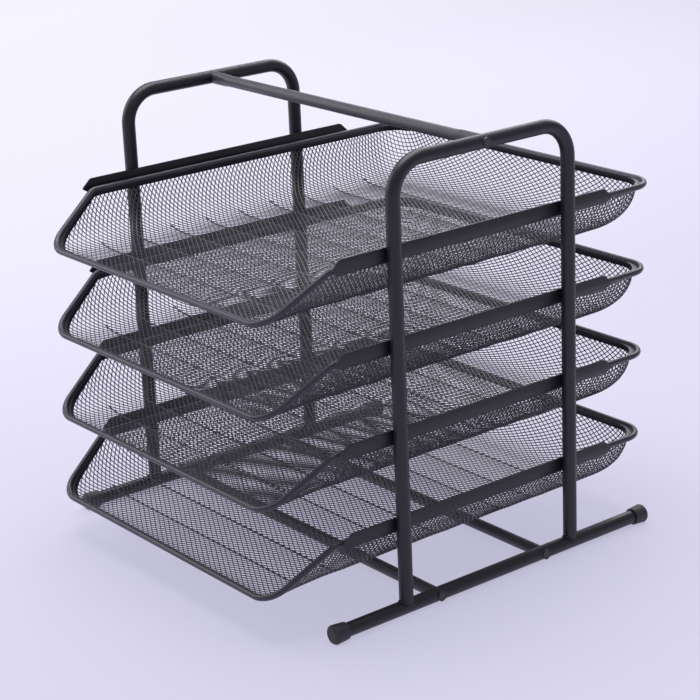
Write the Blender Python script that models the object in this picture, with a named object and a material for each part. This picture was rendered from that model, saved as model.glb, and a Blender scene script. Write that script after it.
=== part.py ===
"""Four-tier letter tray: a bolted tube frame with L-section rails, and four wire-rimmed mesh trays.

Metres, +Z up, +X to the right, the trays' low front edges towards -Y. The origin is on the
ground, under the middle of the whole object.
"""
import math

import bmesh
import bpy
from mathutils import Matrix, Quaternion, Vector

# Side frames: an arch of bent tube standing on a foot tube
FRAME_HALF = 0.155          # middle of the object to the middle of a side frame
TUBE_R = 0.005
TUBE_WALL = 0.001
POST_HALF = 0.0775          # middle of the frame to the middle of a post
ARCH_TOP_Z = 0.318          # middle of the arch's top run
ARCH_BEND_R = 0.024
FOOT_FRONT_Y = -0.1405
FOOT_BACK_Y = 0.1505

# Rubber caps on the foot tubes' ends; a flat side of each rests on the ground
CAP_R = 0.0062              # at the mouth; the cap flares towards its end
CAP_END_R = 0.0071
CAP_SIDES = 16
CAP_LENGTH = 0.0125
CAP_DOME = 0.003            # how far the domed end stands past the tube's end
FOOT_AXIS_Z = CAP_R * math.cos(math.pi / CAP_SIDES)

# Crossbars and the screws that hold them
BAR_R = 0.00425
BAR_WALL = 0.001
BAR_INSERT = 0.015          # length of the thick, threaded stretch at each end
LOW_BAR_Y = 0.0495
FLAT_END = 0.017            # length of the top bar's squashed ends
FLAT_THICK = 0.74           # a squashed end's thickness and height, as parts of the round bar's
FLAT_TALL = 1.14
SCREW_R = 0.002
SCREW_HOLE_R = 0.0023
SCREW_LENGTH = 0.022        # under the head
HEAD_R = 0.0036
HEAD_TOP = 0.0064           # from the tube's axis to the top of the head

# Rails: one folded strip for each side of each tier
TIERS = 4
TIER_PITCH = 0.0635
LOW_RAIL_Z = 0.060          # underside of the lowest rails
SHEET = 0.001
RAIL_HEIGHT = 0.011
RAIL_WIDTH = 0.0078
NOSE_HALF_LENGTH = 0.127    # the web's ends are noses, cut back above and below
NOSE_HEIGHT = 0.0035
NOSE_ROUNDING = 0.002
WEB_TOP_HALF_LENGTH = 0.1195
FLANGE_HALF_LENGTH = 0.121
FLANGE_ROUNDING = 0.0065    # radius of the flange's inner corners

# Trays, from the kink in the side wires, where a tray meets its rails' front ends
WIRE_R = 0.0022
RIM_HALF = 0.144            # middle of the tray to the middle of a side wire
RIM_FRONT_HALF = 0.1303     # the same at the low front
RIM_FRONT = -0.0475
RIM_BACK = 0.2954
RIM_DROP = 0.0315           # height of the side wires above the front wire
RIM_CORNER_R = 0.020
RIM_KINK_R = 0.0093
PAN_DEPTH = 0.0355          # side wires to the floor's mid-thickness
PAN_SHEET = 0.001
FLOOR_HALF = 0.101
FLOOR_FRONT = -0.024
FLOOR_BACK = 0.252
FLOOR_SPLIT = 0.015         # where the floor's outline passes from the low front to the full depth
FLOOR_CORNER_R = 0.014
HOME_KINK_Y = -0.120        # the kink's place with a tray pushed home
STAGGER = 0.0026            # how much further out each lower tray stands

GAP = 0.0003                # clearance between touching pieces
TUBE_SIDES = 12
BEND_STEPS = 6
X, Y, Z = Vector((1, 0, 0)), Vector((0, 1, 0)), Vector((0, 0, 1))


# ---------------------------------------------------------------- materials

def finish(name, colour, roughness, metallic=0.0):
    """One Principled material."""
    material = bpy.data.materials.new(name)
    material.use_nodes = True
    shader = material.node_tree.nodes["Principled BSDF"]
    shader.inputs["Base Color"].default_value = (*colour, 1)
    shader.inputs["Roughness"].default_value = roughness
    shader.inputs["Metallic"].default_value = metallic
    material.diffuse_color = (*colour, 1)
    return material


# ---------------------------------------------------------------- outlines and solids

def rounded_corner(before, corner, after, radius, steps):
    """Points along the arc that rounds a corner, or along the line if it goes straight on."""
    back = (before - corner).normalized()
    ahead = (after - corner).normalized()
    turn = math.pi - back.angle(ahead)
    if turn < 0.01:
        return [corner + back * radius * (1 - 2 * step / steps) for step in range(steps + 1)]
    centre = corner + (back + ahead).normalized() * radius / math.cos(turn / 2)
    arm = corner + back * radius * math.tan(turn / 2) - centre
    axis = (-back).cross(ahead).normalized()
    return [centre + Quaternion(axis, turn * step / steps) @ arm for step in range(steps + 1)]


def rounded_outline(corners, steps):
    """A closed outline from (corner, radius) pairs; a radius of zero keeps the corner sharp."""
    points = []
    for index, (corner, radius) in enumerate(corners):
        before = corners[index - 1][0]
        after = corners[(index + 1) % len(corners)][0]
        if radius:
            points += rounded_corner(before, corner, after, radius, steps)
        else:
            points.append(corner)
    return points


def loop(centre, across, up, sides, half_step=False):
    """One ring of points round a centre; across and up are its two radius vectors."""
    shift = math.pi / sides if half_step else 0
    angles = [2 * math.pi * k / sides + shift for k in range(sides)]
    return [centre + across * math.cos(angle) + up * math.sin(angle) for angle in angles]


def skin(loops, cyclic):
    """A closed mesh over equal rings: joined end to end, or with a flat cap at each end."""
    bm = bmesh.new()
    rings = [[bm.verts.new(point) for point in ring] for ring in loops]
    pairs = list(zip(rings, rings[1:] + rings[:1])) if cyclic else list(zip(rings, rings[1:]))
    for ring, following in pairs:
        for k in range(len(ring)):
            after = (k + 1) % len(ring)
            bm.faces.new((ring[k], ring[after], following[after], following[k]))
    if not cyclic:
        bm.faces.new(rings[0])
        bm.faces.new(rings[-1])
    bmesh.ops.recalc_face_normals(bm, faces=bm.faces)
    mesh = bpy.data.meshes.new("solid")
    bm.to_mesh(mesh)
    bm.free()
    return mesh


def swept_loops(path, reference, radius, sides, closed=False):
    """Rings across a path that is never parallel to the reference direction."""
    loops = []
    last = len(path) - 1
    for index, point in enumerate(path):
        before = path[index - 1] if index or closed else point
        after = path[(index + 1) % len(path)] if index < last or closed else point
        along = (after - before).normalized()
        across = along.cross(reference).normalized()
        loops.append(loop(point, across * radius, across.cross(along) * radius, sides))
    return loops


def turned_loops(profile, sides, half_step=False):
    """Rings about the X axis from (x, radius) pairs."""
    return [loop(X * x, Y * radius, Z * radius, sides, half_step) for x, radius in profile]


def plate(outline, thickness):
    """A flat outline thickened along the given vector."""
    bm = bmesh.new()
    face = bm.faces.new([bm.verts.new(point) for point in outline])
    extruded = bmesh.ops.extrude_face_region(bm, geom=[face])
    moved = [item for item in extruded["geom"] if isinstance(item, bmesh.types.BMVert)]
    bmesh.ops.translate(bm, verts=moved, vec=thickness)
    bmesh.ops.recalc_face_normals(bm, faces=bm.faces)
    mesh = bpy.data.meshes.new("plate")
    bm.to_mesh(mesh)
    bm.free()
    return mesh


def round_cutter(centre, axis, radius, length):
    """A cylinder's mesh, centred on a point, for cutting."""
    ends = [centre - axis * length / 2, centre + axis * length / 2]
    reference = Z if abs(axis.dot(Z)) < 0.5 else X
    return skin(swept_loops(ends, reference, radius, 24), cyclic=False)


def combined(mesh, others, operation):
    """The mesh after Boolean operations with the others."""
    body = bpy.data.objects.new("body", mesh)
    bpy.context.collection.objects.link(body)
    bpy.context.view_layer.objects.active = body
    for other in others:
        tool = bpy.data.objects.new("tool", other)
        bpy.context.collection.objects.link(tool)
        modifier = body.modifiers.new("combine", "BOOLEAN")
        modifier.operation = operation
        modifier.object = tool
        bpy.ops.object.modifier_apply(modifier=modifier.name)
        bpy.data.objects.remove(tool)
    result = body.data
    bpy.data.objects.remove(body)
    return result


def place(name, mesh, material, location=(0, 0, 0), turned=False, parent=None):
    """One sub-part; turned means half a turn about Z, for the piece's twin on the other side."""
    if not mesh.materials:
        mesh.materials.append(material)
    piece = bpy.data.objects.new(name, mesh)
    bpy.context.collection.objects.link(piece)
    piece.location = location
    piece.rotation_euler.z = math.pi if turned else 0
    piece.parent = parent
    return piece


def smooth(mesh):
    """Shade the round faces smooth and keep the real edges sharp."""
    mesh.shade_smooth()
    mesh.set_sharp_from_angle(angle=math.radians(40))
    return mesh


# ---------------------------------------------------------------- frame pieces

def arch_mesh():
    """A bent tube, its legs cut to sit on the foot tube, drilled for the top bar's screw."""
    front_foot = Vector((0, -POST_HALF, FOOT_AXIS_Z))
    front_top = Vector((0, -POST_HALF, ARCH_TOP_Z))
    back_top = Vector((0, POST_HALF, ARCH_TOP_Z))
    back_foot = Vector((0, POST_HALF, FOOT_AXIS_Z))
    path = [front_foot]
    path += rounded_corner(front_foot, front_top, back_top, ARCH_BEND_R, BEND_STEPS)
    path += rounded_corner(front_top, back_top, back_foot, ARCH_BEND_R, BEND_STEPS)
    path.append(back_foot)
    outside = swept_loops(path, X, TUBE_R, TUBE_SIDES)
    inside = swept_loops(path, X, TUBE_R - TUBE_WALL, TUBE_SIDES)
    tube = skin(outside + inside[::-1], cyclic=True)
    foot = round_cutter(Vector((0, 0, FOOT_AXIS_Z)), Y, TUBE_R + GAP, 0.3)
    hole = round_cutter(Vector((0, 0, ARCH_TOP_Z)), X, SCREW_HOLE_R, 0.02)
    return smooth(combined(tube, [foot, hole], "DIFFERENCE"))


def foot_tube_mesh():
    """A straight tube, drilled across for the two lower bars' screws."""
    ends = [Y * FOOT_FRONT_Y, Y * FOOT_BACK_Y]
    outside = swept_loops(ends, Z, TUBE_R, TUBE_SIDES)
    inside = swept_loops(ends, Z, TUBE_R - TUBE_WALL, TUBE_SIDES)
    tube = skin(outside + inside[::-1], cyclic=True)
    holes = [round_cutter(Y * y, X, SCREW_HOLE_R, 0.02) for y in (-LOW_BAR_Y, LOW_BAR_Y)]
    return smooth(combined(tube, holes, "DIFFERENCE"))


def cap_mesh():
    """A flared rubber cup with a domed end and a flat below, made along +X from the tube's end."""
    bore = TUBE_R + GAP
    mouth = CAP_DOME - CAP_LENGTH
    profile = [
        (CAP_DOME, CAP_END_R * 0.35),
        (CAP_DOME * 0.85, CAP_END_R * 0.62),
        (CAP_DOME * 0.45, CAP_END_R * 0.86),
        (-CAP_DOME * 0.2, CAP_END_R),
        (mouth, CAP_R),
        (mouth, bore),
        (GAP, bore),
    ]
    mesh = skin(turned_loops(profile, CAP_SIDES, half_step=True), cyclic=False)
    for vertex in mesh.vertices:
        vertex.co.z = max(vertex.co.z, -FOOT_AXIS_Z)
    mesh.transform(Matrix.Rotation(math.pi / 2, 4, "Z"))
    return smooth(mesh)


def bar_mesh(flat_ends):
    """A crossbar: a tube with a thick threaded stretch at each end, its ends cut to the tubes."""
    end = FRAME_HALF
    insert = FRAME_HALF - TUBE_R - BAR_INSERT
    outside = [
        loop(X * x, Y * BAR_R * thick, Z * BAR_R * tall, TUBE_SIDES)
        for x, thick, tall in bar_stations(flat_ends)
    ]
    bore = [(end, SCREW_HOLE_R), (insert, SCREW_HOLE_R), (insert - BAR_R, BAR_R - BAR_WALL)]
    bore += [(-x, radius) for x, radius in bore[::-1]]
    inside = turned_loops(bore, TUBE_SIDES)
    tube = skin(outside + inside, cyclic=True)
    sides = [round_cutter(X * x, Y, TUBE_R + GAP, 0.03) for x in (-end, end)]
    return smooth(combined(tube, sides, "DIFFERENCE"))


def bar_stations(flat_ends):
    """The bar's outer sections from left to right: x, thickness and height as parts of round."""
    if not flat_ends:
        return [(-FRAME_HALF, 1, 1), (FRAME_HALF, 1, 1)]
    flat_from = FRAME_HALF - TUBE_R - FLAT_END
    half = [(FRAME_HALF, FLAT_THICK, FLAT_TALL), (flat_from, FLAT_THICK, FLAT_TALL)]
    half.append((flat_from - BAR_R, 1, 1))
    return [(-x, thick, tall) for x, thick, tall in half] + half[::-1]


def screw_mesh():
    """A round-headed screw along X from the tube's axis, its head's underside cut to the tube."""
    head_profile = [
        (0, SCREW_R),
        (0, HEAD_R),
        (HEAD_TOP - HEAD_R * 0.25, HEAD_R),
        (HEAD_TOP - HEAD_R * 0.08, HEAD_R * 0.8),
        (HEAD_TOP, HEAD_R * 0.45),
    ]
    shank_profile = [
        (TUBE_R - SCREW_LENGTH, SCREW_R * 0.8),
        (TUBE_R - SCREW_LENGTH + SCREW_R, SCREW_R),
        (HEAD_TOP - HEAD_R * 0.3, SCREW_R),
    ]
    head = skin(turned_loops(head_profile, TUBE_SIDES), cyclic=False)
    tube = round_cutter(Vector((0, 0, 0)), Y, TUBE_R + GAP, 0.03)
    head = combined(head, [tube], "DIFFERENCE")
    shank = skin(turned_loops(shank_profile, TUBE_SIDES), cyclic=False)
    return smooth(combined(head, [shank], "UNION"))


def rail_mesh():
    """A folded strip: a web with a nose at each end, and a flange along its lower edge."""
    web = [
        (Vector((0, -FLANGE_HALF_LENGTH, 0)), 0),
        (Vector((0, FLANGE_HALF_LENGTH, 0)), 0),
        (Vector((0, NOSE_HALF_LENGTH, NOSE_HEIGHT)), NOSE_ROUNDING),
        (Vector((0, WEB_TOP_HALF_LENGTH, RAIL_HEIGHT)), NOSE_ROUNDING),
        (Vector((0, -WEB_TOP_HALF_LENGTH, RAIL_HEIGHT)), NOSE_ROUNDING),
        (Vector((0, -NOSE_HALF_LENGTH, NOSE_HEIGHT)), NOSE_ROUNDING),
    ]
    flange = [
        (Vector((0, -FLANGE_HALF_LENGTH, 0)), 0),
        (Vector((0, FLANGE_HALF_LENGTH, 0)), 0),
        (Vector((-RAIL_WIDTH, FLANGE_HALF_LENGTH, 0)), FLANGE_ROUNDING),
        (Vector((-RAIL_WIDTH, -FLANGE_HALF_LENGTH, 0)), FLANGE_ROUNDING),
    ]
    upright = plate(rounded_outline(web, 4), X * -SHEET)
    shelf = plate(rounded_outline(flange, 4), Z * SHEET)
    return combined(upright, [shelf], "UNION")


# ---------------------------------------------------------------- tray pieces

def rim_path(steps):
    """The rim wire's middle line, anticlockwise from above, starting at the back right corner."""
    corners = [
        (Vector((RIM_HALF, RIM_BACK, 0)), RIM_CORNER_R),
        (Vector((-RIM_HALF, RIM_BACK, 0)), RIM_CORNER_R),
        (Vector((-RIM_HALF, 0, 0)), RIM_KINK_R),
        (Vector((-RIM_FRONT_HALF, RIM_FRONT, -RIM_DROP)), RIM_CORNER_R),
        (Vector((RIM_FRONT_HALF, RIM_FRONT, -RIM_DROP)), RIM_CORNER_R),
        (Vector((RIM_HALF, 0, 0)), RIM_KINK_R),
    ]
    return rounded_outline(corners, steps)


def floor_path(steps):
    """The flat floor's outline, with one point for each point of the rim."""
    corners = [
        (Vector((FLOOR_HALF, FLOOR_BACK, -PAN_DEPTH)), FLOOR_CORNER_R),
        (Vector((-FLOOR_HALF, FLOOR_BACK, -PAN_DEPTH)), FLOOR_CORNER_R),
        (Vector((-FLOOR_HALF, FLOOR_SPLIT, -PAN_DEPTH)), RIM_KINK_R),
        (Vector((-FLOOR_HALF, FLOOR_FRONT, -PAN_DEPTH)), FLOOR_CORNER_R),
        (Vector((FLOOR_HALF, FLOOR_FRONT, -PAN_DEPTH)), FLOOR_CORNER_R),
        (Vector((FLOOR_HALF, FLOOR_SPLIT, -PAN_DEPTH)), RIM_KINK_R),
    ]
    return rounded_outline(corners, steps)


def rim_mesh():
    """The rim: one closed ring of round wire."""
    loops = swept_loops(rim_path(4), Z, WIRE_R, 8, closed=True)
    return smooth(skin(loops, cyclic=True))


def pan_mesh():
    """The tray's pan: its wall leaves the rim upright and curves down into a flat floor."""
    rim = rim_path(4)
    floor = floor_path(4)
    bm = bmesh.new()
    wall_steps = 4
    rings = [[] for _ in range(wall_steps + 1)]
    for index, (wire, foot) in enumerate(zip(rim, floor)):
        along = rim[(index + 1) % len(rim)] - rim[index - 1]
        inwards = Z.cross(along).normalized()
        edge = wire + inwards * (WIRE_R + GAP + PAN_SHEET / 2)
        for step, ring in enumerate(rings):
            angle = math.pi / 2 * step / wall_steps
            point = edge.lerp(foot, 1 - math.cos(angle))
            point.z = edge.z + (foot.z - edge.z) * math.sin(angle)
            ring.append(bm.verts.new(point))
    for ring, following in zip(rings, rings[1:]):
        for k in range(len(ring)):
            after = (k + 1) % len(ring)
            bm.faces.new((ring[k], ring[after], following[after], following[k]))
    bm.faces.new(rings[-1])
    bmesh.ops.recalc_face_normals(bm, faces=bm.faces)
    mesh = bpy.data.meshes.new("pan")
    bm.to_mesh(mesh)
    bm.free()
    return smooth(mesh)


# ---------------------------------------------------------------- assembly

def rail_z(tier):
    """Underside of a tier's rails; tier 1 is the top one."""
    return LOW_RAIL_Z + (TIERS - tier) * TIER_PITCH


def build_frame():
    """The side frames, crossbars, caps, screws and rails."""
    coat = finish("frame_powder_coat", (0.022, 0.022, 0.027), 0.45)
    bar_coat = finish("crossbar_powder_coat", (0.025, 0.025, 0.030), 0.42)
    rail_coat = finish("rail_powder_coat", (0.020, 0.020, 0.025), 0.50)
    rubber = finish("cap_rubber", (0.030, 0.030, 0.034), 0.75)
    zinc = finish("black_zinc_screw", (0.030, 0.030, 0.034), 0.35, 0.8)
    arch, foot, cap = arch_mesh(), foot_tube_mesh(), cap_mesh()
    screw, rail = screw_mesh(), rail_mesh()
    for side, sign in (("left", -1), ("right", 1)):
        x = sign * FRAME_HALF
        turned = sign < 0
        place(f"{side}_arch", arch, coat, (x, 0, 0))
        place(f"{side}_foot_tube", foot, coat, (x, 0, FOOT_AXIS_Z))
        place(f"{side}_back_cap", cap, rubber, (x, FOOT_BACK_Y, FOOT_AXIS_Z))
        place(f"{side}_front_cap", cap, rubber, (x, FOOT_FRONT_Y, FOOT_AXIS_Z), turned=True)
        place(f"{side}_top_screw", screw, zinc, (x, 0, ARCH_TOP_Z), turned)
        place(f"{side}_back_screw", screw, zinc, (x, LOW_BAR_Y, FOOT_AXIS_Z), turned)
        place(f"{side}_front_screw", screw, zinc, (x, -LOW_BAR_Y, FOOT_AXIS_Z), turned)
        rail_x = sign * (FRAME_HALF - TUBE_R - GAP)
        for tier in range(1, TIERS + 1):
            place(f"{side}_rail_{tier}", rail, rail_coat, (rail_x, 0, rail_z(tier)), turned)
    place("top_crossbar", bar_mesh(flat_ends=True), bar_coat, (0, 0, ARCH_TOP_Z))
    low_bar = bar_mesh(flat_ends=False)
    place("back_crossbar", low_bar, bar_coat, (0, LOW_BAR_Y, FOOT_AXIS_Z))
    place("front_crossbar", low_bar, bar_coat, (0, -LOW_BAR_Y, FOOT_AXIS_Z))


def build_trays():
    """Four trays, each under an empty that slides along its rails."""
    wire = finish("rim_powder_coat", (0.040, 0.040, 0.046), 0.40)
    mesh_coat = finish("mesh_powder_coat", (0.030, 0.030, 0.035), 0.55)
    rim, pan = rim_mesh(), pan_mesh()
    for tier in range(1, TIERS + 1):
        slide = bpy.data.objects.new(f"tray_{tier}_slide", None)
        bpy.context.collection.objects.link(slide)
        wire_z = rail_z(tier) + SHEET + GAP + WIRE_R
        slide.location = (0, HOME_KINK_Y - STAGGER * (tier - 1), wire_z)
        place(f"tray_{tier}_rim", rim, wire, parent=slide)
        basket = place(f"tray_{tier}_mesh", pan, mesh_coat, parent=slide)
        sheet = basket.modifiers.new("sheet", "SOLIDIFY")
        sheet.thickness = PAN_SHEET
        sheet.offset = 0
        sheet.use_even_offset = True


for existing in list(bpy.data.objects):
    bpy.data.objects.remove(existing)
build_frame()
build_trays()
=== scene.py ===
# %% [markdown]
# # A four-tier letter tray
#
# Two bent-tube side frames stand on foot tubes with rubber caps. Three crossbars hold them
# apart, and each frame carries four short rails. A tray hangs by its wire rim between each
# pair of rails and slides out towards the front. Every tray is a pan of expanded steel mesh:
# a sheet that was slit and pulled open into diamonds, then pressed to shape.
#
# The packed model gives the size and place of every piece. This script dresses it: each piece
# is modelled again with its bends, welds, folds and holes, and gets its own finish.

# %% Load the frame
import math

import bmesh
import bpy
import numpy as np
from mathutils import Matrix, Vector


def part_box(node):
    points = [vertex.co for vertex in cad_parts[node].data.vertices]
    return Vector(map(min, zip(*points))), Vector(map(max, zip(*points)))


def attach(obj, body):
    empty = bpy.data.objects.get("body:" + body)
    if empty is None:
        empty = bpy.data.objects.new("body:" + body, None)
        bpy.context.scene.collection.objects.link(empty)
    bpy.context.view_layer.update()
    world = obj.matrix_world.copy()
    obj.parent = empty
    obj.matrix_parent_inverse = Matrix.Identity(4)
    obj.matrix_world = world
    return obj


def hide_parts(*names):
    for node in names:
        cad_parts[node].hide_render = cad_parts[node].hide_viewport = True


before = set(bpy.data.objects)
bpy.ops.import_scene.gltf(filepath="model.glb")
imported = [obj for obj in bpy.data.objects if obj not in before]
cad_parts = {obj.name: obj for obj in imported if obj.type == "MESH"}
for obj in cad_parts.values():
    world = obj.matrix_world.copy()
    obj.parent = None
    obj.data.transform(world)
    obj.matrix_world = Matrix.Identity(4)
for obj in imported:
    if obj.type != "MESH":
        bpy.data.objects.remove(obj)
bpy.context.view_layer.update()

# %% [markdown]
# ## Measurements
#
# The boxes of the packed nodes say where each piece lies, so places are read from them and not
# typed in again. What a box can't say, such as a bend's radius or a sheet's thickness, is
# written as a name just before it is first used. Everything is in metres.

# %% Measurements
MM = 0.001
TIERS = (1, 2, 3, 4)
SIDES = {"left": -1, "right": 1}

arch_low, arch_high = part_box("right_arch")
foot_low, foot_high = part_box("right_foot_tube")
TUBE_R = (arch_high.x - arch_low.x) / 2
FRAME_X = (arch_high.x + arch_low.x) / 2
POST_Y = (arch_high.y - arch_low.y) / 2 - TUBE_R
ARCH_Z = arch_high.z - TUBE_R
FOOT_Z = (foot_high.z + foot_low.z) / 2
ARCH_BEND_R = 24 * MM
print("tube radius", round(TUBE_R / MM, 2), "mm, arch top at", round(ARCH_Z / MM, 1), "mm")

# %% [markdown]
# ## Modelling by hand
#
# Each piece starts as one primitive and is shaped in edit mode. Blender's operators act on
# whatever is selected, so these helpers keep the selection small: one opens a new primitive,
# one selects parts by their place, one moves points through a function and one extrudes.
# A mesh could also be written point by point, but then nobody could follow how it was shaped.

# %% Helpers for edit mode
NEAR = 0.01 * MM


def begin(name, add, stretch=(1, 1, 1), **settings):
    """Add one primitive with nothing else selected, and open it in edit mode."""
    bpy.ops.object.select_all(action="DESELECT")
    add(**settings)
    piece = bpy.context.object
    piece.name = name
    piece.data.name = name
    piece.scale = stretch
    bpy.ops.object.transform_apply(location=True, rotation=True, scale=True)
    bpy.ops.object.mode_set(mode="EDIT")
    bpy.ops.mesh.select_mode(type="VERT")
    bpy.ops.mesh.select_all(action="SELECT")
    return piece


def pick(piece, kind, test):
    """Select only the vertices, edges or faces whose middle passes a test."""
    bpy.ops.mesh.select_mode(type=kind)
    bpy.ops.mesh.select_all(action="DESELECT")
    bm = bmesh.from_edit_mesh(piece.data)
    for item in {"VERT": bm.verts, "EDGE": bm.edges, "FACE": bm.faces}[kind]:
        corners = [item] if kind == "VERT" else item.verts
        middle = sum((corner.co for corner in corners), Vector()) / len(corners)
        if test(middle):
            item.select_set(True)
    bm.select_flush_mode()
    bmesh.update_edit_mesh(piece.data)


def shape(piece, move):
    """Pass every vertex's place through a function, as a sculptor pushes clay."""
    bm = bmesh.from_edit_mesh(piece.data)
    for vertex in bm.verts:
        vertex.co = move(vertex.co)
    bmesh.update_edit_mesh(piece.data)


def push(vector):
    """Extrude what is selected by a vector."""
    bpy.ops.mesh.extrude_region_move(TRANSFORM_OT_translate={"value": tuple(vector)})


print("tools for edit mode:", ", ".join(tool.__name__ for tool in (begin, pick, shape, push)))

# %% [markdown]
# ## Closing and copying a piece
#
# A shaped piece leaves edit mode with its faces pointing outwards. Smooth shading is limited
# by an angle, so round skins look round and cut edges stay crisp. Pieces that come in pairs
# are modelled once, and a copy with its own mesh is moved or mirrored into place.

# %% Helpers to finish a piece
def close(piece, sharp=35):
    """Leave edit mode with outward normals and smooth round faces."""
    bpy.ops.mesh.select_all(action="SELECT")
    bpy.ops.mesh.normals_make_consistent(inside=False)
    bpy.ops.object.mode_set(mode="OBJECT")
    bpy.ops.object.shade_smooth_by_angle(angle=math.radians(sharp))
    return piece


def finish_with(piece, kind, **settings):
    """Add one modifier and apply it."""
    bpy.context.view_layer.objects.active = piece
    modifier = piece.modifiers.new(kind.title(), kind)
    for name, value in settings.items():
        setattr(modifier, name, value)
    bpy.ops.object.modifier_apply(modifier=modifier.name)


def twin(piece, name, shift=(0, 0, 0), mirrored=False):
    """A copy with its own mesh, moved, or mirrored to the other side of the object first."""
    mesh = piece.data.copy()
    if mirrored:
        mesh.transform(Matrix.Scale(-1, 4, (1, 0, 0)))
        mesh.flip_normals()
    mesh.transform(Matrix.Translation(shift))
    copy = bpy.data.objects.new(name, mesh)
    mesh.name = name
    bpy.context.scene.collection.objects.link(copy)
    return copy


print("tools to finish with:", ", ".join(tool.__name__ for tool in (close, finish_with, twin)))

# %% [markdown]
# ## Bent tube and wire
#
# The arches and the tray rims are made in the same way: stock is fed straight, and bent round
# a former at each corner. A ring of points does just that here. It is extruded along each
# straight and spun round each bend. A curve with a bevel would be quicker to draw, but its
# bends are only nearly round, and here every bend is a true arc with an even section.

# %% Bend a tube or wire
MERGE_DISTANCE = 0.05 * MM


def bent(name, corners, bends, radius, sides, steps, ring=False):
    """A round bar through corner points, with a bend radius for each inner corner."""
    corners = [Vector(corner) for corner in corners]
    if ring:
        start = (corners[-1] + corners[0]) / 2
        corners = [start] + corners + [start]
        bends = [0] + list(bends) + [0]
    first = (corners[1] - corners[0]).normalized()
    piece = begin(
        name,
        bpy.ops.mesh.primitive_circle_add,
        vertices=sides,
        radius=radius,
        location=corners[0],
        rotation=first.to_track_quat("Z", "Y").to_euler(),
    )
    if not ring:
        bpy.ops.mesh.edge_face_add()
        bpy.ops.mesh.select_all(action="SELECT")
    here = corners[0]
    for index in range(1, len(corners) - 1):
        before = (corners[index] - corners[index - 1]).normalized()
        after = (corners[index + 1] - corners[index]).normalized()
        turn = before.angle(after)
        setback = bends[index] * math.tan(turn / 2)
        bend_start = corners[index] - before * setback
        push(bend_start - here)
        inwards = (after - before * after.dot(before)).normalized()
        bpy.ops.mesh.spin(
            steps=steps,
            angle=-turn,
            center=bend_start + inwards * bends[index],
            axis=before.cross(after).normalized(),
        )
        here = corners[index] + after * setback
    push(corners[-1] - here)
    if ring:
        bpy.ops.mesh.select_all(action="SELECT")
        bpy.ops.mesh.remove_doubles(threshold=MERGE_DISTANCE)
    return close(piece)


# %% [markdown]
# ## Side arches
#
# Each side of the stand is one tube, bent twice into an arch. Both sides are alike, so the
# right arch is bent and the left one is its mirror image. The legs end a little above the
# middle of the foot tube, inside it, so the joint shows no gap.

# %% Side arches
LEG_END = FOOT_Z + 0.3 * TUBE_R
right_arch = bent(
    "right_arch_tube",
    [
        (FRAME_X, -POST_Y, LEG_END),
        (FRAME_X, -POST_Y, ARCH_Z),
        (FRAME_X, POST_Y, ARCH_Z),
        (FRAME_X, POST_Y, LEG_END),
    ],
    [0, ARCH_BEND_R, ARCH_BEND_R, 0],
    TUBE_R,
    sides=32,
    steps=14,
)
made = {"right_arch": right_arch, "left_arch": twin(right_arch, "left_arch_tube", mirrored=True)}
print("arch:", len(right_arch.data.vertices), "points")

# %% [markdown]
# ## Foot tubes
#
# Each arch stands on a straight foot tube, which is carried by its two caps. A circle could
# be extruded and thickened, but a cylinder is quicker. Its ends are closed, so each end is
# inset by the wall's thickness and pushed in, which opens the bore.

# %% Foot tubes
TUBE_WALL = 1 * MM
BORE_DEPTH = 12 * MM


def foot_tube(name):
    length = foot_high.y - foot_low.y
    piece = begin(
        name,
        bpy.ops.mesh.primitive_cylinder_add,
        vertices=32,
        radius=TUBE_R,
        depth=length,
        location=(FRAME_X, (foot_high.y + foot_low.y) / 2, FOOT_Z),
        rotation=(math.pi / 2, 0, 0),
    )
    for end, outwards in ((foot_low.y, -1), (foot_high.y, 1)):
        pick(piece, "FACE", lambda m: abs(m.y - end) < NEAR)
        bpy.ops.mesh.inset(thickness=TUBE_WALL, use_even_offset=True)
        push((0, -outwards * BORE_DEPTH, 0))
    return close(piece)


made["right_foot_tube"] = foot_tube("right_foot_bar")
made["left_foot_tube"] = twin(made["right_foot_tube"], "left_foot_bar", mirrored=True)
print("foot tubes:", round(made["right_foot_tube"].dimensions.y / MM), "mm long")

# %% [markdown]
# ## Weld beads
#
# A bead of weld runs round each joint of a leg and a foot tube. A flat ring would float at its
# sides, so the bead is a torus whose points are pushed down to where the round tube falls
# away from the leg, with a slight ripple.

# %% Weld beads
BEAD_R = 0.8 * MM
BEAD_LIFT = 0.5 * MM
BEAD_SINK = 0.3 * MM
RIPPLE = 0.1 * MM
RIPPLES = 14


def weld_bead(name, y):
    piece = begin(
        name,
        bpy.ops.mesh.primitive_torus_add,
        major_radius=TUBE_R,
        minor_radius=BEAD_R,
        major_segments=56,
        minor_segments=12,
        location=(0, 0, 0),
    )

    def settle(point):
        """Lay one point of the ring on the round foot tube."""
        angle = math.atan2(point.y, point.x)
        side = TUBE_R * math.cos(angle)
        saddle = math.sqrt((TUBE_R + BEAD_LIFT) ** 2 - side ** 2)
        ripple = RIPPLE * math.sin(RIPPLES * angle)
        height = point.z + saddle + ripple + FOOT_Z - BEAD_SINK
        return Vector((point.x + FRAME_X, point.y + y, height))

    shape(piece, settle)
    return close(piece, sharp=80)


beads = [weld_bead("right_front_weld", -POST_Y), weld_bead("right_back_weld", POST_Y)]
beads += [twin(bead, bead.name.replace("right", "left"), mirrored=True) for bead in beads]
print("weld beads:", len(beads))

# %% [markdown]
# ## Rubber caps
#
# A moulded cap is pushed over each end of the foot tubes. It is a cup that flares towards a
# domed end, and its lowest side is flat, where it stands. It could be turned on an axis, but
# the flat side isn't round. So a cylinder is used: bevel rounds the end, inset and extrude
# make the cup, and one pass over the points makes the flare, the dome and the flat.

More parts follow.
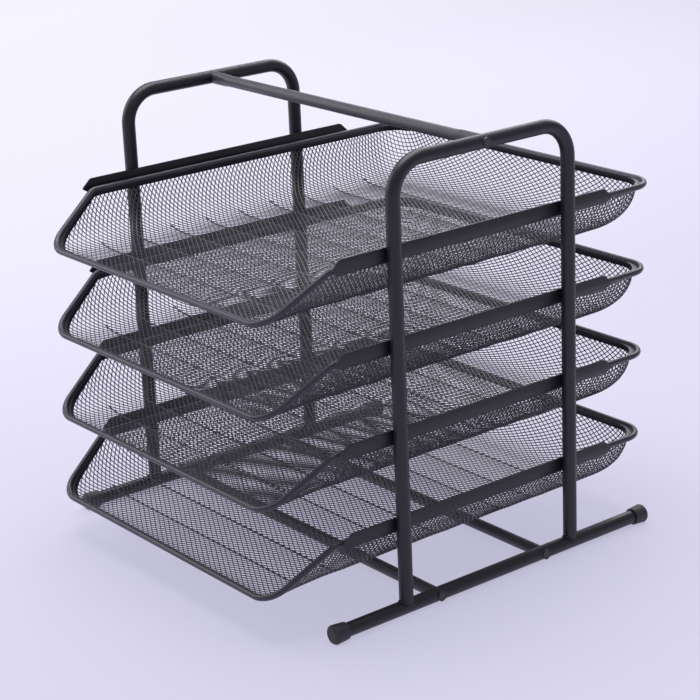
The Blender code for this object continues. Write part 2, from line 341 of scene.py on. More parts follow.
# %% Caps
DOME = 1.9 * MM
MOUTH_LIP = 1.2 * MM
END_ROUNDING = 1.1 * MM
END_RINGS = (1.2 * MM, 1.5 * MM, 1.6 * MM)
MOUTH_EDGE = 0.3 * MM
CUP_DEPTH = 8 * MM
SKIN_MARGIN = 0.25 * MM
DOME_REACH = 1.2 * MM
FLARE_END = 1.15


def rubber_cap(name, node):
    low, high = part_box(node)
    end_radius = (high.x - low.x) / 2
    mouth_radius = TUBE_R + MOUTH_LIP
    outwards = 1 if high.y > 0 else -1
    tip, mouth = (high.y, low.y) if outwards > 0 else (low.y, high.y)
    middle = (high.x + low.x) / 2
    piece = begin(
        name,
        bpy.ops.mesh.primitive_cylinder_add,
        vertices=48,
        radius=end_radius,
        depth=high.y - low.y,
        location=(middle, (high.y + low.y) / 2, FOOT_Z),
        rotation=(math.pi / 2, 0, 0),
    )
    pick(piece, "FACE", lambda m: abs(m.y - tip) < NEAR)
    bpy.ops.mesh.bevel(offset=END_ROUNDING, segments=5, profile=0.5, affect="EDGES")
    for ring in END_RINGS:
        pick(piece, "FACE", lambda m: abs(m.y - tip) < NEAR)
        bpy.ops.mesh.inset(thickness=ring, use_even_offset=True)
    pick(piece, "FACE", lambda m: abs(m.y - mouth) < NEAR)
    bpy.ops.mesh.inset(thickness=MOUTH_EDGE, use_even_offset=True)
    bpy.ops.mesh.inset(thickness=end_radius - TUBE_R - 2 * MOUTH_EDGE, use_even_offset=True)
    push((0, outwards * CUP_DEPTH, 0))

    def flare(point):
        """Taper the cup towards its mouth, dome its end and flatten its lowest side."""
        along = abs(point.y - mouth) / abs(tip - mouth)
        across = Vector((point.x - middle, 0, point.z - FOOT_Z))
        radius = across.length
        if radius > TUBE_R + SKIN_MARGIN:
            flared = mouth_radius + (end_radius - mouth_radius) * min(along * FLARE_END, 1)
            across *= flared / end_radius
        domed = point.y
        if abs(point.y - tip) < DOME_REACH:
            domed -= outwards * DOME * (radius / end_radius) ** 2
        return Vector((middle + across.x, domed, max(FOOT_Z + across.z, 0.0)))

    shape(piece, flare)
    return close(piece, sharp=50)


for side in SIDES:
    for end in ("front", "back"):
        node = f"{side}_{end}_cap"
        made[node] = rubber_cap(node + "_rubber", node)
print("caps:", sum(name.endswith("cap") for name in made))

# %% [markdown]
# ## Crossbars
#
# The crossbars are thinner tube. The top one is squashed at its ends, where it meets the
# arches. A lattice could squash it, but a bar that is extruded in short lengths needs only
# its end lengths pressed, thinner one way and taller the other.

# %% Crossbars
PRESS_STOPS = (12 * MM, 17 * MM, 23 * MM)
PRESS_FADE = 6 * MM
PRESS_THIN = 0.26
PRESS_TALL = 0.14


def crossbar(name, node, pressed):
    low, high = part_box(node)
    centre = (low + high) / 2
    radius = (high.y - low.y) / 2
    reach = high.x
    stops = [-reach] + [-reach + stop for stop in PRESS_STOPS]
    stops += [-stop for stop in reversed(stops)]
    piece = begin(
        name,
        bpy.ops.mesh.primitive_circle_add,
        vertices=28,
        radius=radius,
        fill_type="NGON",
        location=(stops[0], centre.y, centre.z),
        rotation=(0, math.pi / 2, 0),
    )
    for here, there in zip(stops, stops[1:]):
        push((there - here, 0, 0))

    def squashed(point):
        """Press the round section flatter towards the bar's ends."""
        from_end = reach - abs(point.x)
        squash = min(max((PRESS_STOPS[-1] - from_end) / PRESS_FADE, 0), 1)
        y = centre.y + (point.y - centre.y) * (1 - PRESS_THIN * squash)
        z = centre.z + (point.z - centre.z) * (1 + PRESS_TALL * squash)
        return Vector((point.x, y, z))

    if pressed:
        shape(piece, squashed)
    return close(piece)


made["top_crossbar"] = crossbar("top_bar", "top_crossbar", pressed=True)
made["front_crossbar"] = crossbar("front_bar", "front_crossbar", pressed=False)
made["back_crossbar"] = crossbar("back_bar", "back_crossbar", pressed=False)
bars = [piece for name, piece in made.items() if name.endswith("crossbar")]
print("crossbars:", [round(bar.dimensions.x / MM) for bar in bars], "mm")

# %% [markdown]
# ## Screws
#
# A low domed screw head shows on the outer side of the tube at each end of a crossbar, with a
# small dimple in its middle, and its plain shank runs inwards. A sphere cut in half would be
# too tall, so a cylinder's face is inset in rings and the rings are then lowered towards the
# rim. The shank is extruded from the head's other face.

# %% Screws
HEAD = 3 * MM
HEAD_RINGS = (0.5 * MM, 0.6 * MM, 0.7 * MM, 0.4 * MM)
DIMPLE = 0.9 * MM
UNDER_HEAD = 1.6 * MM
HEAD_DOME = 1.7 * MM
DOME_POWER = 2.6


def screw(name, node):
    low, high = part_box(node)
    y, z = (low.y + high.y) / 2, (low.z + high.z) / 2
    outwards = 1 if high.x > 0 else -1
    top, bottom = (high.x, low.x) if outwards > 0 else (low.x, high.x)
    head_radius = (high.y - low.y) / 2
    under_head = top - outwards * HEAD
    piece = begin(
        name,
        bpy.ops.mesh.primitive_cylinder_add,
        vertices=32,
        radius=head_radius,
        depth=HEAD,
        location=(top - outwards * HEAD / 2, y, z),
        rotation=(0, math.pi / 2, 0),
    )
    for ring in HEAD_RINGS:
        pick(piece, "FACE", lambda m: abs(m.x - top) < NEAR)
        bpy.ops.mesh.inset(thickness=ring)
    pick(piece, "FACE", lambda m: abs(m.x - top) < NEAR)
    push((-outwards * DIMPLE, 0, 0))
    pick(piece, "FACE", lambda m: abs(m.x - under_head) < NEAR)
    bpy.ops.mesh.inset(thickness=UNDER_HEAD)
    push((bottom - under_head, 0, 0))

    def round_over(point):
        """Dome the head's outer face."""
        from_middle = min(math.hypot(point.y - y, point.z - z) / head_radius, 1)
        if abs(point.x - top) < NEAR:
            return point - Vector((outwards * HEAD_DOME * from_middle ** DOME_POWER, 0, 0))
        return point

    shape(piece, round_over)
    return close(piece)


for side in SIDES:
    for place in ("top", "front", "back"):
        node = f"{side}_{place}_screw"
        made[node] = screw(node + "_head", node)
print("screws:", sum(name.endswith("screw") for name in made))

# %% [markdown]
# ## Rails
#
# A rail is one strip of sheet steel folded into an L. Its upright web is welded to the two
# posts and runs to a blunt nose at each end, and its narrow flange carries the rim wire. Two
# boxes would meet in a sharp corner, and folded sheet has a soft one. So the rail is drawn as
# a thin surface first: the web, its noses, the flange extruded from the web's lower edge,
# rounded corners and the fold. Solidify then gives it the sheet's thickness.

# %% Rails
RAIL_SHEET = 1 * MM
NOSE_HEIGHT = 3.5 * MM
NOSE_BACK = 7.5 * MM
NOSE_ROUNDING = 1.6 * MM
FLANGE_BACK = 6 * MM
FLANGE_ROUNDING = 6.5 * MM
FOLD_ROUNDING = 1.2 * MM
CUT_EDGE = 0.2 * MM


def rail(name, node):
    low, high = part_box(node)
    half = (high.y - low.y) / 2
    web_x = high.x - RAIL_SHEET / 2
    web_low = low.z + RAIL_SHEET / 2
    height = high.z - web_low
    piece = begin(
        name,
        bpy.ops.mesh.primitive_plane_add,
        size=1,
        location=(web_x, 0, (web_low + high.z) / 2),
        rotation=(0, math.pi / 2, 0),
        stretch=(height, 2 * half, 1),
    )
    bpy.ops.mesh.bisect(plane_co=(0, 0, web_low + NOSE_HEIGHT), plane_no=(0, 0, 1))

    def draw_in(point):
        """Cut the ends back below and above the nose."""
        back = 0
        if point.z > high.z - NEAR:
            back = NOSE_BACK
        elif point.z < web_low + NEAR:
            back = FLANGE_BACK
        return Vector((point.x, math.copysign(half - back, point.y), point.z))

    shape(piece, draw_in)
    bpy.ops.mesh.select_all(action="SELECT")
    bpy.ops.mesh.dissolve_limited(angle_limit=math.radians(1))
    pick(piece, "EDGE", lambda m: abs(m.z - web_low) < NEAR)
    push((low.x - web_x, 0, 0))
    nose_z = web_low + NOSE_HEIGHT
    pick(piece, "VERT", lambda m: abs(m.z - nose_z) < NEAR or m.z > high.z - NEAR)
    bpy.ops.mesh.bevel(offset=NOSE_ROUNDING, segments=5, affect="VERTICES")
    pick(piece, "VERT", lambda m: m.x < low.x + NEAR)
    bpy.ops.mesh.bevel(offset=FLANGE_ROUNDING, segments=7, affect="VERTICES")
    pick(piece, "EDGE", lambda m: abs(m.z - web_low) < NEAR and abs(m.x - web_x) < NEAR)
    bpy.ops.mesh.bevel(offset=FOLD_ROUNDING, segments=4, affect="EDGES")
    close(piece)
    finish_with(piece, "SOLIDIFY", thickness=RAIL_SHEET, offset=0)
    finish_with(
        piece,
        "BEVEL",
        width=CUT_EDGE,
        segments=2,
        limit_method="ANGLE",
        angle_limit=math.radians(50),
    )
    bpy.ops.object.shade_smooth_by_angle(angle=math.radians(35))
    return piece


for tier in TIERS:
    node = f"right_rail_{tier}"
    made[node] = rail(node + "_strip", node)
    made[f"left_rail_{tier}"] = twin(made[node], f"left_rail_{tier}_strip", mirrored=True)
print("rail:", [round(v / MM, 2) for v in made["right_rail_1"].dimensions], "mm")

# %% [markdown]
# ## Rim wire
#
# Each tray hangs in a closed ring of thick wire. The side wires run level along the rails,
# bend down at the kink and slope to a low front wire, so that papers can be reached. All four
# are alike, so one ring is bent as a pattern, with the kink at the origin's height and
# distance, and it is copied to each tier when the pan is ready too.

# %% Rim wire
WIRE_R = 2.2 * MM
CORNER_BEND_R = 20 * MM
KINK_BEND_R = 9.3 * MM
RIM_HALF = 144 * MM
RIM_FRONT_HALF = 130.3 * MM
RIM_FRONT = -47.5 * MM
RIM_BACK = 295.4 * MM
RIM_DROP = 31.5 * MM
rim = bent(
    "rim_pattern",
    [
        (RIM_HALF, RIM_BACK, 0),
        (-RIM_HALF, RIM_BACK, 0),
        (-RIM_HALF, 0, 0),
        (-RIM_FRONT_HALF, RIM_FRONT, -RIM_DROP),
        (RIM_FRONT_HALF, RIM_FRONT, -RIM_DROP),
        (RIM_HALF, 0, 0),
    ],
    2 * [CORNER_BEND_R, CORNER_BEND_R, KINK_BEND_R],
    WIRE_R,
    sides=18,
    steps=10,
    ring=True,
)
print("rim wire:", [round(v / MM, 1) for v in rim.dimensions], "mm")


def tray_place(tier):
    """The point that a tray's patterns are drawn round: the kink's height and distance."""
    low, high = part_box(f"tray_{tier}_rim")
    return Vector((0, low.y + WIRE_R - RIM_FRONT, high.z - WIRE_R))


# %% [markdown]
# ## The pressed pan
#
# The pan is pressed from a flat sheet: a level floor, and walls that curve up until they stand
# upright at the rim. A point of the flat sheet is followed outwards from the floor. It first
# meets the floor's rounded outline, and then climbs a quarter of an ellipse whose width and
# height depend on how far away and how high the rim is in that direction. A cloth simulation
# could drape the sheet, but a press gives the same crisp form to every tray. So the mesh is
# drawn flat, as it is made, and a function presses it. It first needs the floor's and the
# rim's outlines, and a way to measure outwards from one to the other.

# %% The floor and the rim's outline
FLOOR_Z = -35.5 * MM
FLOOR_LOW = np.array([-101, -24]) * MM
FLOOR_HIGH = np.array([101, 252]) * MM
FLOOR_CORNER = 14 * MM
PAN_INSIDE = 2.6 * MM
EDGE_FRONT = RIM_FRONT + PAN_INSIDE
FRONT_TAPER = 0.75


def rounded(corners, radii, steps=10):
    """Points round a flat outline, anticlockwise, with rounded corners."""
    points = []
    for index, corner in enumerate(corners):
        corner = Vector(corner)
        back = (Vector(corners[index - 1]) - corner).normalized()
        ahead = (Vector(corners[(index + 1) % len(corners)]) - corner).normalized()
        half = back.angle(ahead) / 2
        centre = corner + (back + ahead).normalized() * radii[index] / math.sin(half)
        first = corner + back * radii[index] / math.tan(half) - centre
        sweep = math.pi - 2 * half
        for step in range(steps + 1):
            angle = sweep * step / steps
            turned = Vector((
                first.x * math.cos(angle) - first.y * math.sin(angle),
                first.x * math.sin(angle) + first.y * math.cos(angle),
            ))
            points.append(centre + turned)
    return np.array(points)


def pan_edge(inside, radii):
    """The rim's outline, so far inside the wire's middle, with its own corner radii."""
    half, front_half = RIM_HALF - inside, RIM_FRONT_HALF - FRONT_TAPER * inside
    back, front = RIM_BACK - inside, RIM_FRONT + inside
    left = [(-half, back), (-half, 0), (-front_half, front)]
    right = [(front_half, front), (half, 0)]
    return rounded([(half, back)] + left + right, radii)


edge = pan_edge(PAN_INSIDE, [25 * MM, 25 * MM, 9 * MM, 20 * MM, 20 * MM, 9 * MM])
print("pan edge:", len(edge), "points, width", round(np.ptp(edge[:, 0]) / MM, 1), "mm")

# %% From the floor out to the rim
FAR_OUT = 9


def sides_of(outline):
    """Each side's outward direction, and how far out along it the side lies."""
    along = np.roll(outline, -1, axis=0) - outline
    out = np.column_stack([along[:, 1], -along[:, 0]]) / np.linalg.norm(along, axis=1)[:, None]
    return out, (out * outline).sum(axis=1)


EDGE_SIDES = sides_of(edge)


def way_out(flat):
    """For flat points: the nearest point inside the floor's corners, and the way out from it."""
    inner = np.clip(flat, FLOOR_LOW + FLOOR_CORNER, FLOOR_HIGH - FLOOR_CORNER)
    away = flat - inner
    reach = np.linalg.norm(away, axis=1)
    return inner, away / np.maximum(reach, 1e-9)[:, None], reach


def far_to(sides, inner, out):
    """How far it is from each inner point to an outline, going out."""
    facing = out @ sides[0].T
    gap = sides[1][None, :] - inner @ sides[0].T
    return np.where(facing > 1e-6, gap / np.maximum(facing, 1e-6), FAR_OUT).min(axis=1)


def rim_height(met):
    """The height of the rim where a wall meets it: level at the sides, low at the front."""
    return -RIM_DROP * np.clip(met[:, 1] / EDGE_FRONT, 0, 1)


sideways = far_to(EDGE_SIDES, np.array([[0, 0.1]]), np.array([[1, 0]]))
print("from the middle out to the right-hand rim", round(sideways[0] / MM, 1), "mm")

# %% [markdown]
# ## The wall's profile
#
# Seen from its end, a wall leaves the floor flat and reaches the rim upright. A quarter of an
# ellipse does that, and an exponent a little above 2 makes the curve fuller, as in real
# pressed sheet. The diamonds must keep their size on the way up, so the curve is measured in
# short steps, and each point is put at its own distance along it.

# %% Press a flat sheet into the pan
FULLNESS = 2.2
turn_angle = np.linspace(0, math.pi / 2, 49)
PROFILE_OUT = np.sin(turn_angle) ** (2 / FULLNESS)
PROFILE_UP = 1 - np.cos(turn_angle) ** (2 / FULLNESS)


def press(flat, share=None):
    """Flat points to pressed ones; share, if given, is how far up the wall to put them instead."""
    inner, out, reach = way_out(flat)
    climb = reach - FLOOR_CORNER
    to_edge = far_to(EDGE_SIDES, inner, out)
    width = np.where(reach > 1e-9, to_edge - FLOOR_CORNER, 1.0)
    height = rim_height(inner + out * to_edge[:, None]) - FLOOR_Z
    stretch = np.hypot(width[:, None] * np.diff(PROFILE_OUT), height[:, None] * np.diff(PROFILE_UP))
    lengths = np.concatenate([np.zeros((len(flat), 1)), np.cumsum(stretch, axis=1)], axis=1)
    length = lengths[:, -1]
    along = np.clip(climb / length, 0, 1) if share is None else share(length)
    wanted = along * length
    step = np.clip((lengths < wanted[:, None]).sum(axis=1) - 1, 0, len(PROFILE_OUT) - 2)
    row = np.arange(len(flat))
    part = (wanted - lengths[row, step]) / np.maximum(stretch[row, step], 1e-12)
    outwards = PROFILE_OUT[step] + part * np.diff(PROFILE_OUT)[step]
    upwards = PROFILE_UP[step] + part * np.diff(PROFILE_UP)[step]
    on_wall = inner + out * (FLOOR_CORNER + width * outwards)[:, None]
    plan = np.where((climb > 0)[:, None], on_wall, flat)
    return np.column_stack([plan, FLOOR_Z + height * upwards]), climb / length


far_back = press(np.array([[0, 0.9]]))[0][0]
print("wall height at the back", round((far_back[2] - FLOOR_Z) / MM, 1), "mm")

# %% [markdown]
# ## Expanded mesh
#
# The sheet is a grid of diamonds, long across the tray and short along it. A square grid turned
# by an eighth of a turn and stretched gives the pattern. Painted holes would look flat from
# close by, so the holes are real: each diamond is inset by half a strand and its middle is
# deleted. Straight creases across the floor stiffen the sheet, and it swells a little between
# them. The real sheet is one piece. It is drawn as two halves that meet on the middle line
# only because two lighter meshes are easier to handle.

# %% Mesh pattern
LONG_WAY = 6.55 * MM
SHORT_WAY = 3.7 * MM
STRAND = 0.57 * MM
SHEET = 0.5 * MM
CREASE_PITCH = 30.9 * MM
CREASES = [-11 * MM + CREASE_PITCH * k for k in range(9)]
PILLOW = 0.7 * MM
PILLOW_END = 0.55
PILLOW_FADE = 0.3
CELLS = 150
SHEET_MIDDLE = 134.2 * MM
WALL_TOP = 0.99


def pillow(points, climb_share):
    """How far the panels between the creases bulge, on the floor and the foot of the walls."""
    y = points[:, 1]
    between = np.mod(y - CREASES[0], CREASE_PITCH) / CREASE_PITCH
    bulge = PILLOW * np.sin(math.pi * between)
    along = np.clip((y - CREASES[0] + CREASE_PITCH) / CREASE_PITCH, 0, 1)
    along *= np.clip((CREASES[-1] + CREASE_PITCH - y) / CREASE_PITCH, 0, 1)
    return bulge * along * np.clip((PILLOW_END - climb_share) / PILLOW_FADE, 0, 1)


def mesh_sheet(name, side):
    """One half of the flat sheet, cut to the size that presses into the pan."""
    piece = begin(
        name,
        bpy.ops.mesh.primitive_grid_add,
        x_subdivisions=CELLS,
        y_subdivisions=CELLS,
        size=CELLS,
    )
    diagonal = 1 / math.sqrt(2)
    stretch = (LONG_WAY * diagonal, SHORT_WAY * diagonal, 1)
    bpy.ops.transform.rotate(value=math.pi / 4, orient_axis="Z", center_override=(0, 0, 0))
    bpy.ops.transform.resize(value=stretch, center_override=(0, 0, 0))
    bpy.ops.transform.translate(value=(0, SHEET_MIDDLE, 0))
    bm = bmesh.from_edit_mesh(piece.data)
    bm.faces.ensure_lookup_table()
    middles = np.array([face.calc_center_median()[:2] for face in bm.faces])
    beyond = press(middles)[1] > WALL_TOP
    beyond |= (middles[:, 0] > -NEAR) != (side > 0)
    bpy.ops.mesh.select_mode(type="FACE")
    bpy.ops.mesh.select_all(action="DESELECT")
    for face, cut in zip(bm.faces, beyond):
        face.select_set(bool(cut))
    bmesh.update_edit_mesh(piece.data)
    bpy.ops.mesh.delete(type="FACE")
    bpy.ops.mesh.select_all(action="SELECT")
    bpy.ops.mesh.inset(thickness=STRAND / 2, use_individual=True, use_even_offset=True)
    bpy.ops.mesh.delete(type="FACE")
    bpy.ops.object.mode_set(mode="OBJECT")
    return piece


print("diamonds in the flat grid:", CELLS ** 2)

# %% [markdown]
# ## Pressing the mesh
#
# All the points of each half are passed through the press at once. Solidify comes last, since
# a thick sheet would be bent unevenly.

# %% Two pan halves
halves = []
for side_name, side in SIDES.items():
    half_pan = mesh_sheet(f"pan_{side_name}", side)
    points = np.empty(len(half_pan.data.vertices) * 3)
    half_pan.data.vertices.foreach_get("co", points)
    flat = points.reshape(-1, 3)[:, :2]
    pressed, climbed = press(flat)
    pressed[:, 2] += pillow(flat, climbed)
    half_pan.data.vertices.foreach_set("co", pressed.ravel())
    half_pan.data.update()
    finish_with(half_pan, "SOLIDIFY", thickness=SHEET, offset=0)
    halves.append(half_pan)
print("mesh:", [len(half_pan.data.polygons) for half_pan in halves], "faces")

# %% [markdown]
# ## Hem
#
# The cut edge of the mesh is closed by a narrow folded strip just inside the rim, which also
# gives the spot welds something to bite on. The mesh's own edge can't be extruded for it,
# because it is a row of cut strands. So the hem starts as a plain ring that is extruded twice:
# one row of points lies on the wall, one at its top, and one against the wire.

# %% Hem
HEM = 4.0 * MM
HEM_THICK = 0.9 * MM
HEM_INSIDE = 1.2 * MM
HEM_SPACING = 9 * MM
HEM_RING = [
    (150 * MM, 300 * MM),
    (-150 * MM, 300 * MM),
    (-150 * MM, -60 * MM),
    (150 * MM, -60 * MM),
]
HEM_RING_RADII = [63 * MM, 63 * MM, 50 * MM, 50 * MM]
WIRE_SIDES = sides_of(pan_edge(HEM_INSIDE, 2 * [19 * MM, 19 * MM, 9 * MM]))


def hem_strip(name):
    """A ring that follows the top of the wall and closes it against the rim wire."""
    ring = rounded(HEM_RING, HEM_RING_RADII, steps=30)
    spots = []
    for start, stop in zip(ring, np.roll(ring, -1, axis=0)):
        pieces = max(1, int(np.linalg.norm(stop - start) / HEM_SPACING))
        spots += [start + (stop - start) * k / pieces for k in range(pieces)]
    spots = np.array(spots)
    low_ring = press(spots, lambda length: 1 - HEM / length)[0]
    high_ring = press(spots, lambda length: np.ones_like(length))[0]
    inner, out, _ = way_out(spots)
    met = inner + out * far_to(WIRE_SIDES, inner, out)[:, None]
    wire_ring = np.column_stack([met, rim_height(met)])
    piece = begin(name, bpy.ops.mesh.primitive_circle_add, vertices=len(spots), radius=0.1)
    push((0, 0, 1 * MM))
    push((0, 0, 1 * MM))
    bm = bmesh.from_edit_mesh(piece.data)
    rings = {0: low_ring, 1: high_ring, 2: wire_ring}
    angles = {}
    for vertex in bm.verts:
        level = round(vertex.co.z / MM)
        turned = math.atan2(vertex.co.y, vertex.co.x) % math.tau
        angles.setdefault(level, []).append((turned, vertex))
    for level, found in angles.items():
        found.sort(key=lambda pair: pair[0])
        for (_, vertex), spot in zip(found, rings[level]):
            vertex.co = spot
    bmesh.update_edit_mesh(piece.data)
    close(piece)
    finish_with(piece, "SOLIDIFY", thickness=HEM_THICK, offset=0)
    return piece


hem = hem_strip("hem_pattern")
print("hem:", [round(v / MM, 1) for v in hem.dimensions], "mm")

# %% [markdown]
# ## Pressed lines
#
# At the bottom of each crease the press shuts the diamonds, and what is left reads as a thin
# solid line across the floor and up the foot of each wall. Closing the diamonds themselves
# would break the even pattern, so a narrow strip of points follows the pressed sheet there
# and is thickened like it.

# %% Pressed lines
LINE_WIDTH = 1.15 * MM
LINE_REACH = 119 * MM
LINE_STEPS = 44
LINE_SINK = 0.1 * MM


def pressed_lines(name):
    """All the lines of one pan, as one piece of many narrow strips."""
    piece = begin(
        name,
        bpy.ops.mesh.primitive_grid_add,
        x_subdivisions=LINE_STEPS,
        y_subdivisions=1,
        size=1,
    )
    bpy.ops.transform.resize(value=(2 * LINE_REACH, LINE_WIDTH, 1), center_override=(0, 0, 0))
    bpy.ops.transform.translate(value=(0, CREASES[0], 0))
    for before, after in zip(CREASES, CREASES[1:]):
        bpy.ops.mesh.duplicate_move(TRANSFORM_OT_translate={"value": (0, after - before, 0)})
    bm = bmesh.from_edit_mesh(piece.data)
    flat = np.array([vertex.co[:2] for vertex in bm.verts])
    places, climb_share = press(flat)
    places[:, 2] += pillow(flat, climb_share) - LINE_SINK
    for vertex, place in zip(bm.verts, places):
        vertex.co = place
    bmesh.update_edit_mesh(piece.data)
    close(piece)
    finish_with(piece, "SOLIDIFY", thickness=SHEET, offset=0)
    return piece


lines = pressed_lines("line_pattern")
print("pressed lines:", len(CREASES), "of", round(2 * LINE_REACH / MM), "mm")

# %% [markdown]
# ## Four trays
#
# The stand holds four equal trays, each drawn forward a little more than the one above. Each
# tray gets its own copy of the rim, the pan, the hem and the lines, placed where the packed
# model has its rim, and the patterns are thrown away.

# %% Four trays
rims, pans, hems, pan_lines = [], [], [], []
for tier in TIERS:
    place = tray_place(tier)
    rims.append(twin(rim, f"tray_{tier}_rim_wire", place))
    pans.append([twin(half, f"tray_{tier}_{half.name}", place) for half in halves])
    hems.append(twin(hem, f"tray_{tier}_hem", place))
    pan_lines.append(twin(lines, f"tray_{tier}_pressed_lines", place))
for pattern in (rim, *halves, hem, lines):
    bpy.data.objects.remove(pattern)
print("trays placed at", [round(tray_place(tier).z / MM, 1) for tier in TIERS], "mm")

# %% [markdown]
# ## Finishes
#
# A material is a net of nodes. Written as node after node, the maths in it is hard to read, so
# a small class stands for a node's output and turns sums and products into Math nodes. Two
# short functions open a material and fill in its shader's sockets.

# %% Shader maths
class Shade:
    """An output of a shader node. Sums and products of outputs add their own Math nodes."""

    def __init__(self, tree, socket=None):
        self.tree = tree
        self.socket = socket

    def node(self, kind, settings=None, values=None, output=0):
        """Add a node: first its settings, then a value or a link for each socket."""
        made_node = self.tree.nodes.new(kind)
        for name, setting in (settings or {}).items():
            setattr(made_node, name, setting)
        for name, value in (values or {}).items():
            if isinstance(value, Shade):
                self.tree.links.new(value.socket, made_node.inputs[name])
            else:
                made_node.inputs[name].default_value = value
        return Shade(self.tree, made_node.outputs[output])

    def maths(self, operation, first, second):
        return self.node("ShaderNodeMath", {"operation": operation}, {0: first, 1: second})

    def __add__(self, other):
        return self.maths("ADD", self, other)

    def __sub__(self, other):
        return self.maths("SUBTRACT", self, other)

    def __rsub__(self, other):
        return self.maths("SUBTRACT", other, self)

    def __mul__(self, other):
        return self.maths("MULTIPLY", self, other)

    __radd__ = __add__
    __rmul__ = __mul__


print("operators that add a Math node:", [word for word in vars(Shade) if word.startswith("__r")])

# %% Open a material and fill its sockets
def finish_named(name):
    """An empty material with its node tree ready, and the Shade that adds nodes to it."""
    material = bpy.data.materials.new(name)
    material.use_nodes = True
    return material, Shade(material.node_tree), material.node_tree.nodes["Principled BSDF"]


def connect(shade, principled, sockets):
    """Feed a Principled shader's sockets from values or outputs."""
    for name, value in sockets.items():
        if isinstance(value, Shade):
            shade.tree.links.new(value.socket, principled.inputs[name])
        else:
            principled.inputs[name].default_value = value


print("tools for finishes:", ", ".join(tool.__name__ for tool in (finish_named, connect)))

# %% [markdown]
# ## Powder coat, rubber and black zinc
#
# The metal has a satin black powder coat. The powder melts into a skin with a fine orange-peel
# texture, a little duller and paler where it pooled, and slightly bluish. One plain black
# would look like a silhouette, so a coarse noise varies colour and roughness by a little, and
# a fine noise makes the peel as a bump. The moulded rubber is duller with a coarser skin, and
# the screws' black zinc is smoother.

# %% Powder coat
GRAIN_SCALE = 900.0
CLOUD_SCALE = 45.0
TINT_SPREAD = 0.2
ROUGHNESS_SPREAD = 0.16
PEEL_DEPTH = 0.2 * MM


def powder_coat(name, colour, roughness, peel=0.25):
    """A coat with a fine peel; colour and roughness drift a little from place to place."""
    material, shade, principled = finish_named(name)
    where = shade.node("ShaderNodeTexCoord", output="Object")
    fine = {"Vector": where, "Scale": GRAIN_SCALE, "Detail": 2.0}
    coarse = {"Vector": where, "Scale": CLOUD_SCALE, "Detail": 3.0}
    grain = shade.node("ShaderNodeTexNoise", values=fine)
    cloud = shade.node("ShaderNodeTexNoise", values=coarse)
    dark = tuple((1 - TINT_SPREAD) * part for part in colour) + (1,)
    light = tuple((1 + TINT_SPREAD) * part for part in colour) + (1,)
    tint = shade.node(
        "ShaderNodeMix",
        {"data_type": "RGBA"},
        {"Factor": cloud, 6: dark, 7: light},
        output=2,
    )
    bump = shade.node(
        "ShaderNodeBump",
        values={"Height": grain, "Strength": peel, "Distance": PEEL_DEPTH},
    )
    connect(shade, principled, {
        "Base Color": tint,
        "Roughness": roughness + ROUGHNESS_SPREAD * (cloud - 0.5),
        "Normal": bump,
    })
    return material


coats = {
    "tube": powder_coat("tube_powder_coat", (0.011, 0.0105, 0.018), 0.38),
    # The crossbars wear the same black powder coat as the tubes, painted lighter: painted light,
    # for the light from above on their tops.
    "bar": powder_coat("crossbar_powder_coat", (0.050, 0.047, 0.060), 0.38),
    "rail": powder_coat("rail_powder_coat", (0.013, 0.0125, 0.018), 0.42),
    "wire": powder_coat("rim_powder_coat", (0.036, 0.034, 0.052), 0.32),
    "mesh": powder_coat("mesh_powder_coat", (0.036, 0.034, 0.047), 0.40),
    "rubber": powder_coat("moulded_rubber", (0.028, 0.027, 0.036), 0.5, peel=0.5),
    "screw": powder_coat("black_zinc", (0.034, 0.034, 0.038), 0.2, peel=0.05),
}
print("finishes:", ", ".join(coats))

# %% [markdown]
# ## Dressing the pieces
#
# Each finished piece gets its coat and is joined to the moving body that carries it, and the
# packed node it stands for is hidden. The stand is one body, and each tray, which slides out,
# is a body of its own. The pieces could be parented by hand, but then a pose would lose them.

# %% Dress and join the pieces to their bodies
def dress(piece, coat, body):
    """Give a piece its coat, and join it to the body that carries it."""
    piece.data.materials.clear()
    piece.data.materials.append(coats[coat])
    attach(piece, body)


KINDS = {
    "arch": ("tube", "frame"),
    "foot_tube": ("tube", "frame"),
    "cap": ("rubber", "caps"),
    "screw": ("screw", "screws"),
    "crossbar": ("bar", "crossbars"),
    "rail": ("rail", "rails"),
}
for node, piece in made.items():
    coat, slot = next(pair for word, pair in KINDS.items() if word in node)
    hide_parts(node)
    dress(piece, coat, "frame")
for bead in beads:
    dress(bead, "tube", "frame")
for tier in TIERS:
    body = f"tray_{tier}"
    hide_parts(f"tray_{tier}_rim")
    for half in pans[tier - 1]:
        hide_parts(f"tray_{tier}_mesh")
    dress(rims[tier - 1], "wire", body)
    for piece in (*pans[tier - 1], hems[tier - 1], pan_lines[tier - 1]):
        dress(piece, "mesh", body)

# %% [markdown]
# ## Studio
#
# The tray stands on a pale sweep of paper under large soft lights, with a long lens. A lens
# this long stands well back and keeps the posts nearly parallel. The camera's turn could be
# given as three raw angles, but its yaw, pitch and roll are easier to think in, so its axes
# are worked out from those.

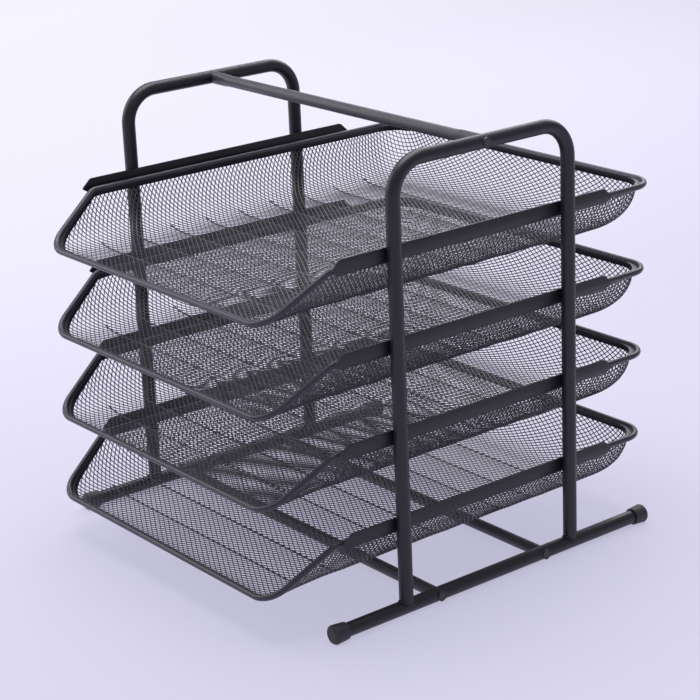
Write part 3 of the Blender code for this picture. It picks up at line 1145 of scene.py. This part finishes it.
# %% Camera
LENS = 108.4
SENSOR = 36
CAMERA_PLACE = (1.1671, -0.9008, 0.6472)
CAMERA_ANGLES = (52.246, -19.187, -2.435)
camera_data = bpy.data.cameras.new("camera")
camera_data.lens = LENS
camera_data.sensor_width = SENSOR
camera_data.clip_end = 20
camera = bpy.data.objects.new("camera", camera_data)
bpy.context.scene.collection.objects.link(camera)
yaw, pitch, roll = (math.radians(angle) for angle in CAMERA_ANGLES)
ahead = Vector((-math.sin(yaw), math.cos(yaw), 0))
forward = ahead * math.cos(pitch) + Vector((0, 0, math.sin(pitch)))
level = Vector((math.cos(yaw), math.sin(yaw), 0))
upward = level.cross(forward)
right_side = level * math.cos(roll) + upward * math.sin(roll)
up_side = upward * math.cos(roll) - level * math.sin(roll)
turn = Matrix((right_side, up_side, -forward)).transposed()
camera.matrix_world = Matrix.Translation(CAMERA_PLACE) @ turn.to_4x4()
bpy.context.scene.camera = camera
print("camera", round(camera.location.length, 2), "m from the middle of the stand")

# %% [markdown]
# ## Paper
#
# The floor is a pale lilac sheet that grows lighter towards the far left, where the studio's
# wall lights it. A curved backdrop isn't needed, since the camera looks down and sees no
# horizon. The sheet glows a little by itself, which is the plain way to keep its shadows soft.

# %% Paper sweep
GLOW_NEAR = (0.465, 0.455, 0.59, 1)
GLOW_FAR = (0.78, 0.77, 0.86, 1)
GLOW_RISE = 0.55
GLOW_START = 0.15


def paper_sweep(name):
    """A pale sheet, lit a little from below, so that it keeps its shadows light."""
    piece = begin(name, bpy.ops.mesh.primitive_plane_add, size=12)
    bpy.ops.object.mode_set(mode="OBJECT")
    material, shade, principled = finish_named("paper")
    where = shade.node("ShaderNodeTexCoord", output="Object")
    apart = shade.node("ShaderNodeSeparateXYZ", values={0: where})
    away = shade.maths("MAXIMUM", -GLOW_RISE * apart - GLOW_START, 0.0)
    glow = shade.node(
        "ShaderNodeMix",
        {"data_type": "RGBA"},
        {"Factor": shade.maths("MINIMUM", away, 1.0), 6: GLOW_NEAR, 7: GLOW_FAR},
        output=2,
    )
    connect(shade, principled, {
        "Base Color": (0.22, 0.215, 0.24, 1),
        "Roughness": 0.9,
        "Specular IOR Level": 0.1,
        "Emission Color": glow,
        "Emission Strength": 1.0,
    })
    piece.data.materials.append(material)


paper_sweep("paper")
print("paper laid under the caps")

# %% [markdown]
# ## Lights
#
# A black object shows its form only by what it reflects, so wide soft lights are used: one
# overhead for the tops of the wires, one at the left for the posts' edges and a long one
# behind for the far rims. A weak even world fills the rest.

# %% Lights
def soft_light(name, place, aim, size, power, colour):
    """A rectangular area light that faces a point."""
    data = bpy.data.lights.new(name, "AREA")
    data.shape = "RECTANGLE"
    data.size, data.size_y = size
    data.energy = power
    data.color = colour
    light = bpy.data.objects.new(name, data)
    bpy.context.scene.collection.objects.link(light)
    light.location = place
    light.rotation_euler = (Vector(aim) - Vector(place)).to_track_quat("-Z", "Y").to_euler()


soft_light("overhead", (-0.3, 0.1, 1.8), (0, 0, 0.1), (1.5, 1.5), 32, (1.0, 0.98, 1.0))
soft_light("left_window", (-1.3, -0.9, 0.9), (0, 0, 0.15), (1.2, 1.2), 9, (0.98, 0.98, 1.0))
soft_light("behind", (-0.9, 1.5, 1.2), (0, 0, 0.2), (1.6, 0.8), 13, (1.0, 0.97, 1.0))
print("lights:", len(bpy.data.lights))

# %% World and view
world = bpy.data.worlds.new("studio")
bpy.context.scene.world = world
world.use_nodes = True
surround = world.node_tree.nodes["Background"]
surround.inputs["Color"].default_value = (0.92, 0.91, 1.0, 1)
surround.inputs["Strength"].default_value = 0.35
bpy.context.scene.view_settings.view_transform = "Standard"
print("world:", world.name)
